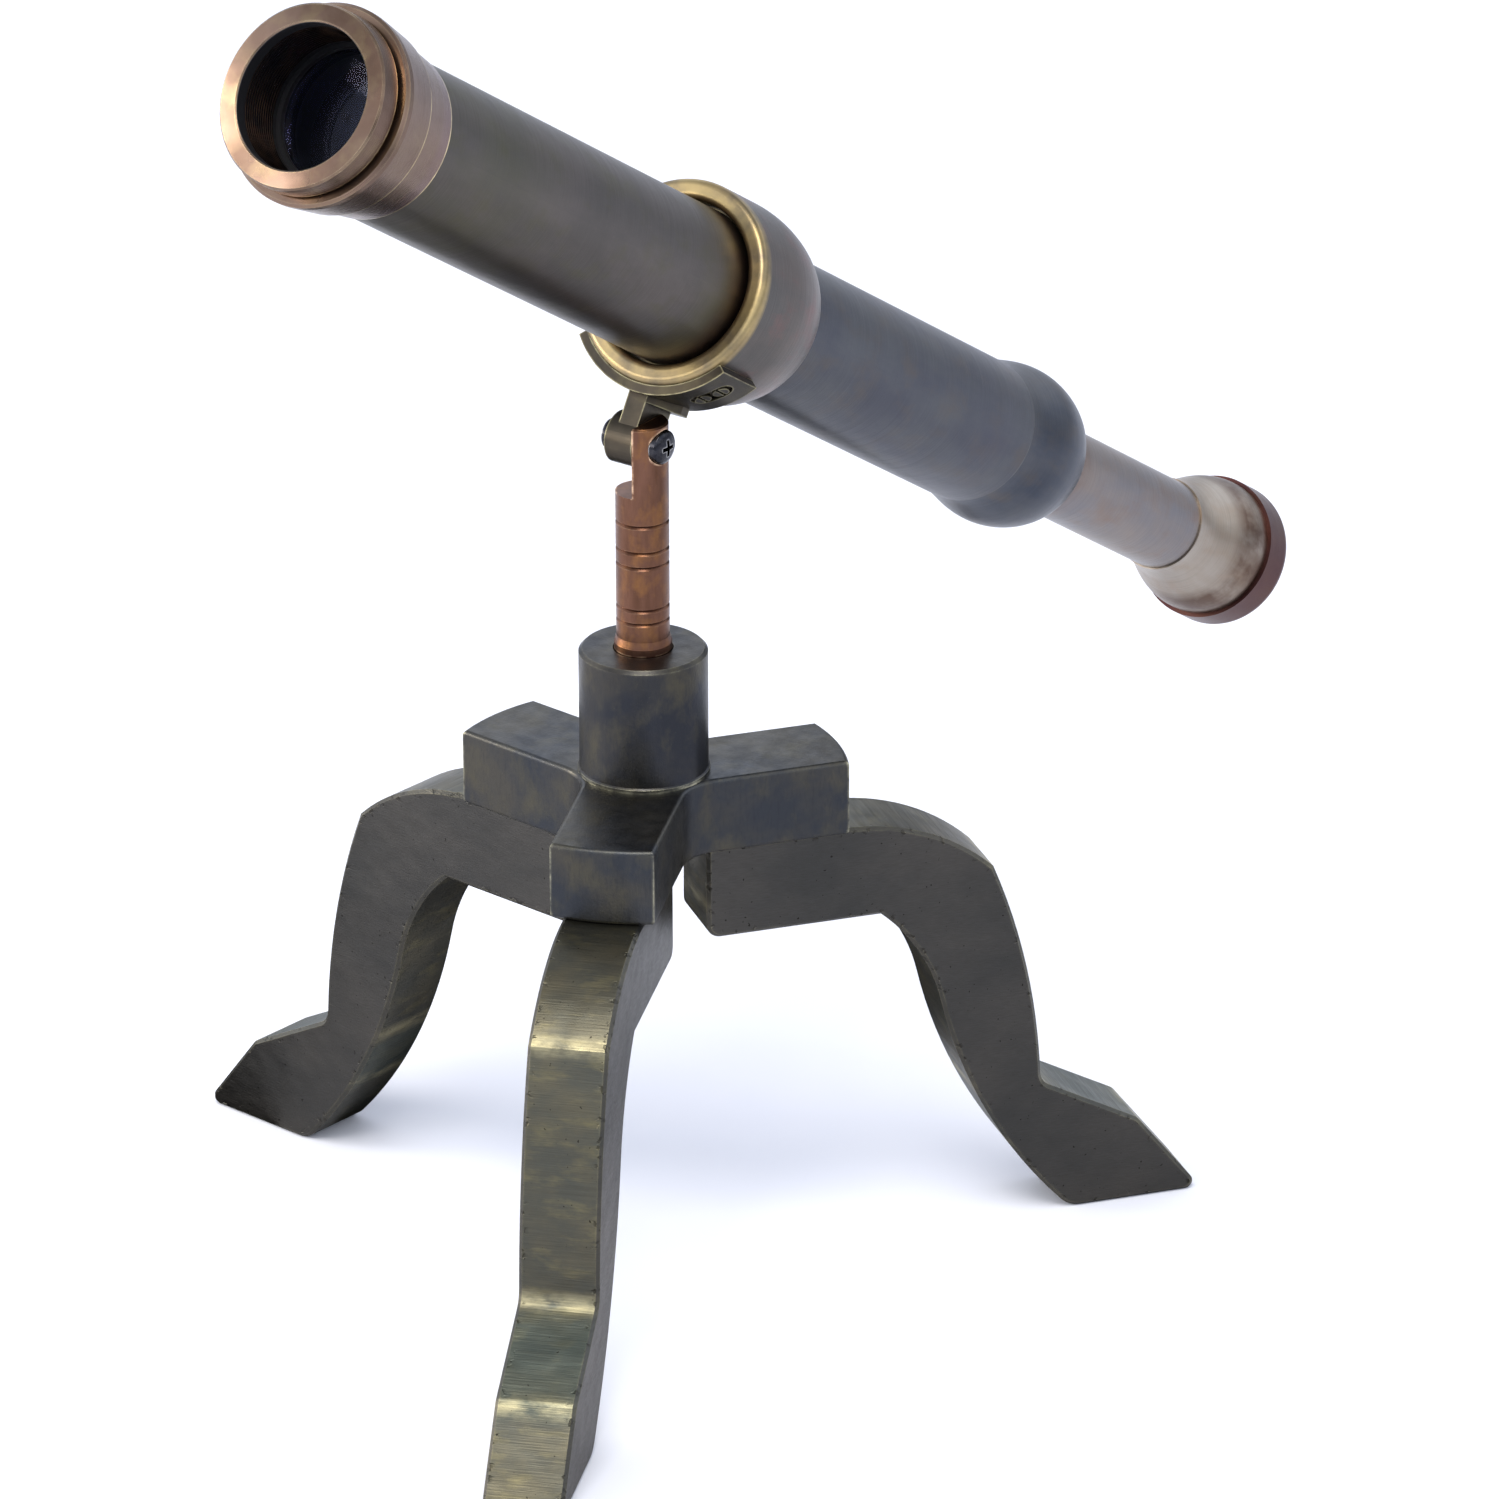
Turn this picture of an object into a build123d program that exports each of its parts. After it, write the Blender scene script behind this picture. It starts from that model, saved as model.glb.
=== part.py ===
from build123d import *
import os
from math import asin, cos, degrees, radians, sin, sqrt, tan

# A small drawn-tube telescope on a turned post and a cast three-legged stand.
#
# Frame: origin on the floor under the axis of the post, +Z up, +X the level heading of the objective.
# The telescope lies in the XZ plane and is drawn out and tilted up.  Stations along it are counted
# from the foot of the pivot on the tube axis: positive towards the objective, negative to the eye.

# ---------------------------------------------------------------- driving dimensions, millimetres
# Stand
LEG_COUNT = 3
LEG_AZIMUTH = 24.0          # first leg, counted from the heading of the objective
LEG_HEIGHT = 78.5           # top of a leg, which is the underside of the arms
LEG_THICKNESS = 13.8
LEG_BAR_DEPTH = 17.0        # depth of the level part of a leg
LEG_INNER_RADIUS = 9.0      # where a leg starts, clear of the centre
KNEE_RADIUS = 61.0
KNEE_DROP = 11.0            # knee below the top of the leg
SHIN_BULGE = 6.5            # how far the shin swells out beyond the knee
HAUNCH_START = 1.0          # level top before it starts to fall, short of the arm's end
CROOK_REACH = 11.0          # hollow between the level part and the back of the shin
CROOK_DROP = 18.0
CALF_SAG = 2.5
CALF_SHARE = 0.44           # height of the calf's middle, as a share of the shin's back
ANKLE_RADIUS = 70.0
ANKLE_HEIGHT = 25.0
FOOT_CORNER_RADIUS = 88.0
FOOT_CORNER_HEIGHT = 15.3
TOE_RADIUS = 100.0
SOLE_LENGTH = 24.5
SHIN_DEPTH = 16.0           # knee face to the back of the leg
EDGE_BREAK = 0.6            # small chamfer on the sawn and filed edges
ANKLE_ROUND = 3.0
INSTEP_ROUND = 2.0
TOE_ROUND = 1.4
HEEL_ROUND = 5.0
INNER_CORNER_ROUND = 2.5

HUB_THICKNESS = 13.6
ARM_REACH = 35.0            # radius of the arc that ends each arm
ARM_WIDTH = 17.9
ARM_WEB_RADIUS = 9.0        # hollow corner between two arms
ARM_EDGE_ROUND = 0.8

SOCKET_RADIUS = 11.0
SOCKET_HEIGHT = 22.4
SOCKET_SPIGOT_RADIUS = 8.0
SOCKET_SPIGOT_DEPTH = 6.0
SOCKET_FLOOR = 4.0
SOCKET_BEAD = 0.3

LEG_SCREW_RADIUS = 1.5
LEG_SCREW_HEAD_RADIUS = 2.75
LEG_SCREW_HEAD_HEIGHT = 2.4
LEG_SCREW_SHARES = (0.46, 0.8)     # places of the two screws, as shares of the arm's reach
LEG_SCREW_SEAT = 8.0        # metal left between a screw head and the arm
LEG_SCREW_BITE = 8.0        # thread in the arm
LEG_SCREW_SLOT = (0.8, 1.0) # width and depth

# Post
POST_RADIUS = 4.55
POST_FOOT_FLARE = 0.4
POST_FOOT_HEIGHT = 2.5
PIVOT_RISE = 37.5           # tilt pivot above the socket
SHOULDER_DROP = 8.8         # start of the half lap, below the pivot
TONGUE_FACE = 1.1           # the lap face stands this far to the +Y side of the post axis
TONGUE_RISE = 3.8           # tongue above the pivot
GROOVE_RISES = (5.7, 8.2, 16.0, 18.7, 23.5)     # grooves above the socket
GROOVE_DEPTH = 0.35
POST_SCREW_RADIUS = 2.0
POST_SCREW_HEAD_RADIUS = 3.5
POST_SCREW_HEAD_HEIGHT = 2.3
POST_SCREW_BITE = 12.0
POST_SCREW_RELIEF = 1.0     # empty end of the tapped hole
POST_SCREW_SLOT = (1.0, 1.1)
WASHER_THICKNESS = 0.8
WASHER_RADIUS = 5.2
WASHER_POCKET = 3.6

# Pivot
PIVOT_SCREW_RADIUS = 1.5
PIVOT_HEAD_RADIUS = 2.95
PIVOT_HEAD_HEIGHT = 2.1
PIVOT_HEAD_SINK = 1.05      # spot face on the tongue, below the round of the post
PIVOT_CROSS_SPAN = 2.9
PIVOT_CROSS_WIDTH = 0.7
PIVOT_CROSS_DEPTH = 1.3
PIVOT_NUT_RADIUS = 2.6
PIVOT_NUT_HEIGHT = 1.9

# Bracket
LUG_RADIUS = 4.5
LUG_PROUD = 0.05            # lug face beyond the round of the post
NECK_HALF_LENGTH = 4.2
NECK_OUTER_FACE = 2.8
NECK_BLOCK_FACE = 4.4
NECK_CLEARANCE = 0.17       # block above the tongue's corner as it swings past
SADDLE_THICKNESS = 1.7
SADDLE_HALF_ANGLE = 50.0
SADDLE_FRONT = 5.6
SADDLE_LENGTH = 11.0
SADDLE_RECESS_ANGLE = 33.0
SADDLE_RECESS_LENGTH = 7.6
SADDLE_RECESS_WIDTH = 3.9
SADDLE_RECESS_DEPTH = 0.7
SADDLE_SCREW_SPACING = 3.5
SADDLE_SCREW_RADIUS = 0.7
SADDLE_SCREW_HEAD_RADIUS = 1.45
SADDLE_SCREW_LENGTH = 2.6
SADDLE_SCREW_SLOT = 0.45
NECK_ROOT = 1.0             # neck let into the saddle

# Telescope
ELEVATION = 32.4            # tilt at rest, degrees
COLLAR_STANDOFF = 8.9       # underside of the collar above the pivot
COLLAR_WALL = 4.05          # collar outside the barrel
COLLAR_FRONT = 6.5
COLLAR_MOUTH_DEPTH = 4.0
COLLAR_MOUTH_GAP = 0.45
COLLAR_LIP_ROUND = 1.2
COLLAR_BODY_LENGTH = 11.5
COLLAR_LENGTH = 26.0
COLLAR_TAIL_WALL = 0.65     # collar outside the first draw, at its thin end
COLLAR_TAIL_RISE = 2.5
COLLAR_EASE = 6.0           # how slowly the collar starts to fall away
BARREL_RADIUS = 13.85
BARREL_WALL = 0.45
BARREL_SEAT = 14.5          # tube end inside the collar, behind the collar's front
BARREL_LENGTH = 122.0
RING_BEAD_PROUD = 3.05      # the four steps of the ring, outside the barrel
RING_SKIRT_PROUD = 2.15
RING_STEP_PROUD = 1.65
RING_TAIL_PROUD = 0.45
RING_OVERHANG = 5.0         # ring in front of the barrel's end
RING_BEAD_WIDTH = 1.6
RING_SKIRT_LENGTH = 8.5
RING_LENGTH = 17.5
CELL_OVERHANG = 5.0         # cell in front of the ring
CELL_PROUD = 1.55           # cell rim outside the barrel
CELL_RIM_LENGTH = 4.1
CELL_GROOVE_DEPTH = 0.8
CELL_SPIGOT_INSET = 0.4     # cell's spigot inside the barrel's bore
CELL_WALL = 0.75
CELL_SPIGOT_LENGTH = 14.0
APERTURE_INSET = 0.1        # cell mouth inside the lens edge
LENS_SEAT_DEPTH = 12.0      # lens shoulder behind the front face
LENS_LIP = 0.95             # lip that the lens rests on
LENS_LIP_THICKNESS = 1.0
OBJECTIVE_FRONT_CURVE = 90.0
OBJECTIVE_INNER_CURVE = 60.0
CROWN_EDGE = 1.2
FLINT_EDGE = 2.5
CEMENT = 0.03
RETAINER_LENGTH = 2.0
RETAINER_WALL = 0.9
STOP_SETBACK = 18.0         # glare stop behind the barrel's end
STOP_THICKNESS = 0.8
STOP_APERTURE = 10.5

DRAW_1_WALL = 0.6
DRAW_1_FRONT = 15.0
DRAW_1_LENGTH = 113.0
GUIDE_1_LENGTH = 22.5
GUIDE_1_WALL = 0.25
CAP_LENGTH = 23.5
CAP_BULGE_PROUD = 1.6       # fattest part of the cap outside the draw
CAP_BULGE_SETBACK = 12.0
CAP_FLARE = 0.3
CAP_SHOULDER = 2.5
CAP_EASE = (5.0, 4.0, 5.0)  # how slowly the flare leaves the tube, meets the bulge and leaves it
CAP_SPIGOT_LENGTH = 7.0
CAP_BORE_LENGTH = 15.0

DRAW_2_RADIUS = 8.3
DRAW_2_WALL = 0.5
DRAW_2_SHOWING = 62.5       # second draw behind the cap
GUIDE_2_LENGTH = 8.0
GUIDE_2_GAP = 0.6           # guide to the cap's spigot when drawn out
ERECTOR_LENGTH = 34.0
ERECTOR_WALL = 0.7
ERECTOR_INSERT = 12.0
ERECTOR_LENS_THICKNESS = 3.4
ERECTOR_LENS_CURVE = 22.0

EYECUP_GRIP = 13.0          # eyecup in front of the second draw's end
EYECUP_THROAT_WALL = 0.3
EYECUP_BELL_PROUD = 4.3     # bell outside the second draw
EYECUP_BELL_SETBACK = 4.0
EYECUP_EASE = 6.0
EYE_CAP_SETBACK = 5.5
EYE_CAP_LENGTH = 8.0
EYE_CAP_PROUD = 5.0         # eye cap outside the second draw
EYE_CAP_ROUND = 2.4
EYE_CAP_LIP = 1.0
EYE_CAP_SPIGOT_PROUD = 2.2
EYE_CAP_SPIGOT_LENGTH = 2.5
EYE_CAP_DISH = 1.8
EYE_HOLE_RADIUS = 3.5
EYEPIECE_LENGTH = 26.0
EYEPIECE_WALL = 0.9
EYE_LENS_THICKNESS = 4.0
FIELD_LENS_THICKNESS = 4.2
EYEPIECE_LENS_CURVE = 16.0
FIELD_STOP_RADIUS = 4.2

# Clearances
RUNNING = 0.05              # radial, between parts that turn or slide
SEAT = 0.02                 # radial, between parts that are screwed or pushed together
HOLE_CLEARANCE = 0.1        # radial, a screw's clearance hole
FACE_GAP = 0.05             # axial, between faces that rub

# ---------------------------------------------------------------- worked-out places
hub_top = LEG_HEIGHT + HUB_THICKNESS
socket_top = hub_top + SOCKET_HEIGHT
post_bottom = hub_top - SOCKET_SPIGOT_DEPTH + SOCKET_FLOOR
washer_seat = LEG_HEIGHT + WASHER_POCKET
pivot_height = socket_top + PIVOT_RISE
pivot_head_seat = POST_RADIUS - PIVOT_HEAD_SINK
lug_outer_face = POST_RADIUS + LUG_PROUD

# Radii of what nests in the barrel, from the outside in
collar_radius = BARREL_RADIUS + COLLAR_WALL
barrel_bore = BARREL_RADIUS - BARREL_WALL
cell_spigot_radius = barrel_bore - CELL_SPIGOT_INSET
objective_radius = cell_spigot_radius - CELL_WALL
guide_1_radius = barrel_bore - RUNNING
draw_1_radius = guide_1_radius - GUIDE_1_WALL
draw_1_bore = draw_1_radius - DRAW_1_WALL
draw_2_bore = DRAW_2_RADIUS - DRAW_2_WALL

# Stations along the tube, from the objective to the eye
collar_shoulder = COLLAR_FRONT - BARREL_SEAT
barrel_front = collar_shoulder + BARREL_LENGTH
ring_front = barrel_front + RING_OVERHANG
cell_front = ring_front + CELL_OVERHANG
cap_front = DRAW_1_FRONT - DRAW_1_LENGTH
cap_rear = cap_front - CAP_LENGTH
draw_2_rear = cap_rear - DRAW_2_SHOWING

tube_offset = collar_radius + COLLAR_STANDOFF
neck_block_underside = sqrt(TONGUE_RISE ** 2 + POST_RADIUS ** 2) + NECK_CLEARANCE
slope = radians(ELEVATION)
along = Vector(cos(slope), 0, sin(slope))
across = Vector(-sin(slope), 0, cos(slope))
pivot = Vector(0, 0, pivot_height)
axis_foot = pivot + across * tube_offset
tube_axis = Axis(axis_foot, along)
# Half-section of everything on the tube axis: x is the station, y the radius.
tube_section = Plane(origin=axis_foot, x_dir=along, z_dir=(0, -1, 0))
# Side view of the bracket: x along the tube, y square to it, from the pivot.
bracket_side = Plane(origin=pivot, x_dir=along, z_dir=(0, -1, 0))


def tube_station(station):
    """Plane square to the tube at a station, x to the +Y side and y down towards the pivot."""
    return Plane(origin=axis_foot + along * station, x_dir=(0, 1, 0), z_dir=along)


def save(part, name):
    part.label = name
    export_step(part, f"parts/{name}.step")


os.makedirs("parts", exist_ok=True)

# ---------------------------------------------------------------- legs
sole_heel_radius = TOE_RADIUS - SOLE_LENGTH
bar_underside = LEG_HEIGHT - LEG_BAR_DEPTH
knee_height = LEG_HEIGHT - KNEE_DROP
shin_radius = KNEE_RADIUS + SHIN_BULGE
shin_back_radius = shin_radius - SHIN_DEPTH
shin_middle = (knee_height + ANKLE_HEIGHT) / 2
calf_radius = (sole_heel_radius + shin_back_radius) / 2 - CALF_SAG
calf_height = (bar_underside - CROOK_DROP) * CALF_SHARE
leg_screw_shank = LEG_SCREW_SEAT + LEG_SCREW_BITE
leg_screw_pocket = LEG_BAR_DEPTH - LEG_SCREW_SEAT
leg_screw_places = [share * ARM_REACH for share in LEG_SCREW_SHARES]


def leg_plane(azimuth):
    """Upright plane through the post axis and a leg, x outwards and y up."""
    turn = radians(azimuth)
    return Plane(origin=(0, 0, 0), x_dir=(cos(turn), sin(turn), 0), z_dir=(sin(turn), -cos(turn), 0))


def make_leg(azimuth):
    """One S-shaped leg, sawn from thick bar, with its two counterbored screw holes."""
    side = leg_plane(azimuth)
    with BuildPart() as leg:
        with BuildSketch(side) as outline:
            with BuildLine():
                top = Line((LEG_INNER_RADIUS, LEG_HEIGHT), (ARM_REACH - HAUNCH_START, LEG_HEIGHT))
                haunch = TangentArc(top @ 1, (KNEE_RADIUS, knee_height), tangent=top % 1)
                shin = ThreePointArc(
                    haunch @ 1, (shin_radius, shin_middle), (ANKLE_RADIUS, ANKLE_HEIGHT)
                )
                instep = Line(shin @ 1, (FOOT_CORNER_RADIUS, FOOT_CORNER_HEIGHT))
                toe = Line(instep @ 1, (TOE_RADIUS, 0))
                sole = Line(toe @ 1, (sole_heel_radius, 0))
                calf = ThreePointArc(
                    sole @ 1,
                    (calf_radius, calf_height),
                    (shin_back_radius, bar_underside - CROOK_DROP),
                )
                crook = TangentArc(
                    calf @ 1, (shin_back_radius - CROOK_REACH, bar_underside), tangent=calf % 1
                )
                underside = Line(crook @ 1, (LEG_INNER_RADIUS, bar_underside))
                Line(underside @ 1, top @ 0)
            make_face()
            for corner, radius in (
                (shin @ 1, ANKLE_ROUND),
                (instep @ 1, INSTEP_ROUND),
                (toe @ 1, TOE_ROUND),
                (sole @ 1, HEEL_ROUND),
                (underside @ 1, INNER_CORNER_ROUND),
            ):
                fillet(outline.vertices().sort_by_distance(corner)[0], radius=radius)
        extrude(amount=LEG_THICKNESS / 2, both=True)
        sides = leg.faces().sort_by(Axis(side.origin, side.z_dir))
        chamfer(sides[-1].edges() + sides[0].edges(), length=EDGE_BREAK)
        from_below = Plane(origin=side.from_local_coords((0, bar_underside)), z_dir=(0, 0, -1),
                           x_dir=side.x_dir)
        with Locations(*[from_below.location * Location((place, 0)) for place in leg_screw_places]):
            CounterBoreHole(
                radius=LEG_SCREW_RADIUS + HOLE_CLEARANCE,
                counter_bore_radius=LEG_SCREW_HEAD_RADIUS + HOLE_CLEARANCE,
                counter_bore_depth=leg_screw_pocket,
            )
    return leg.part


leg_names = ("leg_front", "leg_left", "leg_right")
for number, leg_name in enumerate(leg_names):
    save(make_leg(LEG_AZIMUTH - number * 360 / LEG_COUNT), leg_name)

# ---------------------------------------------------------------- hub
screw_circle = [
    Location((place * cos(turn), place * sin(turn), 0))
    for turn in [radians(LEG_AZIMUTH + number * 360 / LEG_COUNT) for number in range(LEG_COUNT)]
    for place in leg_screw_places
]

with BuildPart() as hub:
    with BuildSketch(Plane.XY.offset(LEG_HEIGHT)) as hub_outline:
        with PolarLocations(ARM_REACH / 2, LEG_COUNT, start_angle=LEG_AZIMUTH):
            Rectangle(ARM_REACH + ARM_WIDTH / 3, ARM_WIDTH)
        inner_corners = hub_outline.vertices().sort_by_distance((0, 0, LEG_HEIGHT))[:LEG_COUNT]
        fillet(inner_corners, radius=ARM_WEB_RADIUS)
        Circle(ARM_REACH, mode=Mode.INTERSECT)
    extrude(amount=HUB_THICKNESS)
    rims = hub.faces().filter_by(Axis.Z)
    fillet(rims.edges(), radius=ARM_EDGE_ROUND)
    with Locations((0, 0, hub_top)):
        Hole(radius=POST_SCREW_RADIUS + HOLE_CLEARANCE)
    with Locations((0, 0, hub_top)):
        Hole(radius=SOCKET_SPIGOT_RADIUS + SEAT, depth=SOCKET_SPIGOT_DEPTH)
    with Locations(Location((0, 0, LEG_HEIGHT), (180, 0, 0))):
        Hole(radius=WASHER_RADIUS + 2 * HOLE_CLEARANCE, depth=WASHER_POCKET)
    with Locations(*[Location((0, 0, LEG_HEIGHT)) * spot * Location((0, 0, 0), (180, 0, 0))
                     for spot in screw_circle]):
        Hole(radius=LEG_SCREW_RADIUS, depth=LEG_SCREW_BITE)
save(hub.part, "hub")

# ---------------------------------------------------------------- socket
with BuildPart() as socket:
    with BuildSketch(Plane.XZ):
        with BuildLine():
            Polyline(
                (POST_SCREW_RADIUS + HOLE_CLEARANCE, hub_top - SOCKET_SPIGOT_DEPTH),
                (SOCKET_SPIGOT_RADIUS, hub_top - SOCKET_SPIGOT_DEPTH),
                (SOCKET_SPIGOT_RADIUS, hub_top),
                (SOCKET_RADIUS + SOCKET_BEAD, hub_top),
                (SOCKET_RADIUS + SOCKET_BEAD, hub_top + 2 * SOCKET_BEAD),
                (SOCKET_RADIUS, hub_top + 3 * SOCKET_BEAD),
                (SOCKET_RADIUS, socket_top - EDGE_BREAK),
                (SOCKET_RADIUS - EDGE_BREAK, socket_top),
                (POST_RADIUS + RUNNING + EDGE_BREAK, socket_top),
                (POST_RADIUS + RUNNING, socket_top - EDGE_BREAK),
                (POST_RADIUS + RUNNING, post_bottom),
                (POST_SCREW_RADIUS + HOLE_CLEARANCE, post_bottom),
                close=True,
            )
        make_face()
    revolve(axis=Axis.Z)
save(socket.part, "socket")

# ---------------------------------------------------------------- leg screws
with BuildPart() as leg_screws:
    with BuildSketch(Plane.XY.offset(bar_underside + leg_screw_pocket)):
        with Locations(*screw_circle):
            Circle(LEG_SCREW_RADIUS)
    extrude(amount=leg_screw_shank - FACE_GAP)
    with BuildSketch(Plane.XY.offset(bar_underside + leg_screw_pocket - LEG_SCREW_HEAD_HEIGHT)):
        with Locations(*screw_circle):
            Circle(LEG_SCREW_HEAD_RADIUS)
    extrude(amount=LEG_SCREW_HEAD_HEIGHT)
    with BuildSketch(Plane.XY.offset(bar_underside + leg_screw_pocket - LEG_SCREW_HEAD_HEIGHT)):
        with Locations(*screw_circle):
            Rectangle(2 * LEG_SCREW_HEAD_RADIUS, LEG_SCREW_SLOT[0])
    extrude(amount=LEG_SCREW_SLOT[1], mode=Mode.SUBTRACT)
save(leg_screws.part, "leg_screws")

# ---------------------------------------------------------------- post
tongue_top = pivot_height + TONGUE_RISE

with BuildPart() as post:
    with BuildSketch(Plane.XZ):
        with BuildLine():
            Polyline(
                (0, post_bottom + FACE_GAP),
                (POST_RADIUS, post_bottom + FACE_GAP),
                (POST_RADIUS, socket_top + RUNNING),
                (POST_RADIUS + POST_FOOT_FLARE, socket_top + RUNNING),
                (POST_RADIUS + POST_FOOT_FLARE, socket_top + POST_FOOT_HEIGHT / 2),
                (POST_RADIUS, socket_top + POST_FOOT_HEIGHT),
                (POST_RADIUS, tongue_top - EDGE_BREAK / 2),
                (POST_RADIUS - EDGE_BREAK / 2, tongue_top),
                (0, tongue_top),
                close=True,
            )
        make_face()
    revolve(axis=Axis.Z)
    with BuildSketch(Plane.XZ):
        for rise in GROOVE_RISES:
            with Locations((POST_RADIUS, socket_top + rise)):
                RegularPolygon(radius=GROOVE_DEPTH, side_count=4)
    revolve(axis=Axis.Z, mode=Mode.SUBTRACT)
    with BuildSketch(Plane.XY.offset(pivot_height - SHOULDER_DROP)):
        with Locations((0, TONGUE_FACE)):
            Rectangle(4 * POST_RADIUS, 4 * POST_RADIUS, align=(Align.CENTER, Align.MAX))
    extrude(amount=tongue_top, mode=Mode.SUBTRACT)
    with BuildSketch(Plane(origin=(0, pivot_head_seat, pivot_height), z_dir=(0, 1, 0))):
        Circle(PIVOT_HEAD_RADIUS + HOLE_CLEARANCE)
    extrude(amount=POST_RADIUS, mode=Mode.SUBTRACT)
    with Locations(Location((0, 0, pivot_height), (90, 0, 0))):
        Hole(radius=PIVOT_SCREW_RADIUS + SEAT)
    with Locations(Location((0, 0, post_bottom + FACE_GAP), (180, 0, 0))):
        Hole(radius=POST_SCREW_RADIUS + SEAT, depth=POST_SCREW_BITE)
save(post.part, "post")

with BuildPart() as post_washer:
    with BuildSketch(Plane.XY.offset(washer_seat - FACE_GAP - WASHER_THICKNESS)):
        Circle(WASHER_RADIUS)
        Circle(POST_SCREW_RADIUS + HOLE_CLEARANCE, mode=Mode.SUBTRACT)
    extrude(amount=WASHER_THICKNESS)
save(post_washer.part, "post_washer")

post_screw_seat = washer_seat - FACE_GAP - WASHER_THICKNESS

with BuildPart() as post_screw:
    with BuildSketch(Plane.XY.offset(post_screw_seat - POST_SCREW_HEAD_HEIGHT)):
        Circle(POST_SCREW_HEAD_RADIUS)
    extrude(amount=POST_SCREW_HEAD_HEIGHT)
    with BuildSketch(Plane.XY.offset(post_screw_seat)):
        Circle(POST_SCREW_RADIUS)
    extrude(amount=post_bottom + POST_SCREW_BITE - POST_SCREW_RELIEF - post_screw_seat)
    with BuildSketch(Plane.XY.offset(post_screw_seat - POST_SCREW_HEAD_HEIGHT)):
        Rectangle(2 * POST_SCREW_HEAD_RADIUS, POST_SCREW_SLOT[0])
    extrude(amount=POST_SCREW_SLOT[1], mode=Mode.SUBTRACT)
save(post_screw.part, "post_screw")

# ---------------------------------------------------------------- pivot screw and nut
pivot_section = Plane(origin=pivot, x_dir=(0, 1, 0), z_dir=(1, 0, 0))
screw_tip = -lug_outer_face - PIVOT_NUT_HEIGHT
head_top = pivot_head_seat + PIVOT_HEAD_HEIGHT

with BuildPart() as pivot_screw:
    with BuildSketch(pivot_section):
        with BuildLine():
            side = Polyline(
                (screw_tip, 0),
                (screw_tip, PIVOT_SCREW_RADIUS),
                (pivot_head_seat, PIVOT_SCREW_RADIUS),
                (pivot_head_seat, PIVOT_HEAD_RADIUS),
                (pivot_head_seat + PIVOT_HEAD_HEIGHT / 2, PIVOT_HEAD_RADIUS),
            )
            crown = EllipticalCenterArc(
                (pivot_head_seat + PIVOT_HEAD_HEIGHT / 2, 0),
                PIVOT_HEAD_HEIGHT / 2,
                PIVOT_HEAD_RADIUS,
                arc_size=90,
            )
            Line(crown @ 0, side @ 0)
        make_face()
    revolve(axis=Axis(pivot, (0, 1, 0)))
    with BuildSketch(Plane(origin=(0, head_top, pivot_height), z_dir=(0, 1, 0))):
        Rectangle(PIVOT_CROSS_SPAN, PIVOT_CROSS_WIDTH)
        Rectangle(PIVOT_CROSS_WIDTH, PIVOT_CROSS_SPAN)
    extrude(amount=-PIVOT_CROSS_DEPTH, mode=Mode.SUBTRACT)
save(pivot_screw.part, "pivot_screw")

with BuildPart() as pivot_nut:
    with BuildSketch(Plane(origin=(0, -lug_outer_face - FACE_GAP, pivot_height), z_dir=(0, -1, 0))):
        Circle(PIVOT_NUT_RADIUS)
        Circle(PIVOT_SCREW_RADIUS + SEAT, mode=Mode.SUBTRACT)
    extrude(amount=PIVOT_NUT_HEIGHT)
    chamfer(pivot_nut.edges().filter_by(GeomType.CIRCLE).group_by(Axis.Y)[0][-1:], length=EDGE_BREAK)
save(pivot_nut.part, "pivot_nut")

# ---------------------------------------------------------------- tilt bracket
saddle_inner = collar_radius + SEAT
saddle_outer = collar_radius + SADDLE_THICKNESS
neck_top = tube_offset - saddle_outer + NECK_ROOT
lap_face = TONGUE_FACE - FACE_GAP
saddle_middle = SADDLE_FRONT - SADDLE_LENGTH / 2
side_y = Vector(0, 1, 0)


def recess_plane(side, shift=0):
    """Floor of a wing's recess, x round the tube and z outwards, moved along x by shift."""
    turn = radians(side * SADDLE_RECESS_ANGLE)
    outwards = side_y * sin(turn) - across * cos(turn)
    round_it = side_y * cos(turn) + across * sin(turn)
    middle = axis_foot + along * saddle_middle + outwards * (saddle_outer - SADDLE_RECESS_DEPTH)
    return Plane(origin=middle + round_it * shift, x_dir=round_it, z_dir=outwards)


half_spacing = SADDLE_SCREW_SPACING / 2
screw_spots = [
    recess_plane(side, shift) for side in (-1, 1) for shift in (-half_spacing, half_spacing)
]

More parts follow.
